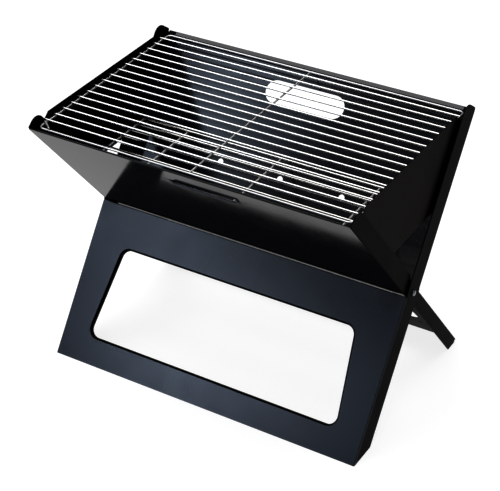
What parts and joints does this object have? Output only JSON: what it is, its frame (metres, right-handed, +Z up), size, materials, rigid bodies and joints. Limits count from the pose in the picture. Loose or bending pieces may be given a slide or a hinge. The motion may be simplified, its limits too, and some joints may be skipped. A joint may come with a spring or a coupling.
{
  "type": "folding camp grill",
  "caption": "Portable folding charcoal grill: two crossed sheet-metal frames form a V-shaped firebox on windowed legs, with side plates, a lower charcoal grate and a wire cooking grate.",
  "frame": {"origin": "on the floor, at the middle of the footprint of the open grill", "axes": "+X along the grill's width, to the right seen from the front; -Y towards the front leg panel; +Z up"},
  "size_m": [0.4554, 0.305, 0.3566],
  "materials": {
    "satin_coat": "satin heat-proof coating",
    "gloss_coat": "glossy heat-proof coating",
    "plated_wire": "bright plated wire",
    "zinc": "bright zinc-plated"
  },
  "bodies": {
    "outer_frame": {"front_leg_panel": "satin_coat", "back_wall": "gloss_coat", "outer_rail_left": "satin_coat", "pivot_rivet_left": "zinc", "pivot_washer_left": "zinc", "outer_rail_right": "satin_coat", "pivot_rivet_right": "zinc", "pivot_washer_right": "zinc"},
    "inner_frame": {"front_wall": "gloss_coat", "rear_leg_panel": "satin_coat", "inner_rail_left": "satin_coat", "inner_rail_right": "satin_coat"},
    "side_plate_left": {"side_plate_left": "satin_coat"},
    "side_plate_right": {"side_plate_right": "satin_coat"},
    "charcoal_grate": {"charcoal_cross_wire_1": "plated_wire", "charcoal_cross_wire_2": "plated_wire", "charcoal_cross_wire_3": "plated_wire", "charcoal_cross_wire_4": "plated_wire", "charcoal_cross_wire_5": "plated_wire", "charcoal_bar_1": "plated_wire", "charcoal_bar_2": "plated_wire", "charcoal_bar_3": "plated_wire", "charcoal_bar_4": "plated_wire", "charcoal_bar_5": "plated_wire", "charcoal_bar_6": "plated_wire", "charcoal_bar_7": "plated_wire", "charcoal_bar_8": "plated_wire", "charcoal_bar_9": "plated_wire"},
    "cooking_grate": {"cooking_grate_frame": "plated_wire", "cooking_cross_wire": "plated_wire", "cooking_corner_tie": "plated_wire", "cooking_bar_1": "plated_wire", "cooking_bar_2": "plated_wire", "cooking_bar_3": "plated_wire", "cooking_bar_4": "plated_wire", "cooking_bar_5": "plated_wire", "cooking_bar_6": "plated_wire", "cooking_bar_7": "plated_wire", "cooking_bar_8": "plated_wire", "cooking_bar_9": "plated_wire", "cooking_bar_10": "plated_wire", "cooking_bar_11": "plated_wire", "cooking_bar_12": "plated_wire", "cooking_bar_13": "plated_wire", "cooking_bar_14": "plated_wire", "cooking_bar_15": "plated_wire", "cooking_bar_16": "plated_wire"}
  },
  "joints": [
    {"name": "frame_fold", "type": "hinge", "parent": "outer_frame", "child": "inner_frame", "pos_m": [0, -0.00255, 0.165], "axis": [-1, 0, 0], "range_deg": [0, 74.8]},
    {"name": "side_plate_left_lift", "type": "slide", "parent": "outer_frame", "child": "side_plate_left", "axis": [0, 0, 1], "range_m": [0, 0.53]},
    {"name": "side_plate_right_lift", "type": "slide", "parent": "outer_frame", "child": "side_plate_right", "axis": [0, 0, 1], "range_m": [0, 0.53]},
    {"name": "charcoal_grate_lift", "type": "slide", "parent": "outer_frame", "child": "charcoal_grate", "axis": [0, 0, 1], "range_m": [0, 0.53]},
    {"name": "cooking_grate_lift", "type": "slide", "parent": "charcoal_grate", "child": "cooking_grate", "axis": [0, 0, 1], "range_m": [0, 0.25]}
  ],
  "couplings": [
    {"joint": "side_plate_left_lift", "follows": "frame_fold", "m_per_rad": 0.4},
    {"joint": "side_plate_right_lift", "follows": "frame_fold", "m_per_rad": 0.4},
    {"joint": "charcoal_grate_lift", "follows": "frame_fold", "m_per_rad": 0.4}
  ]
}
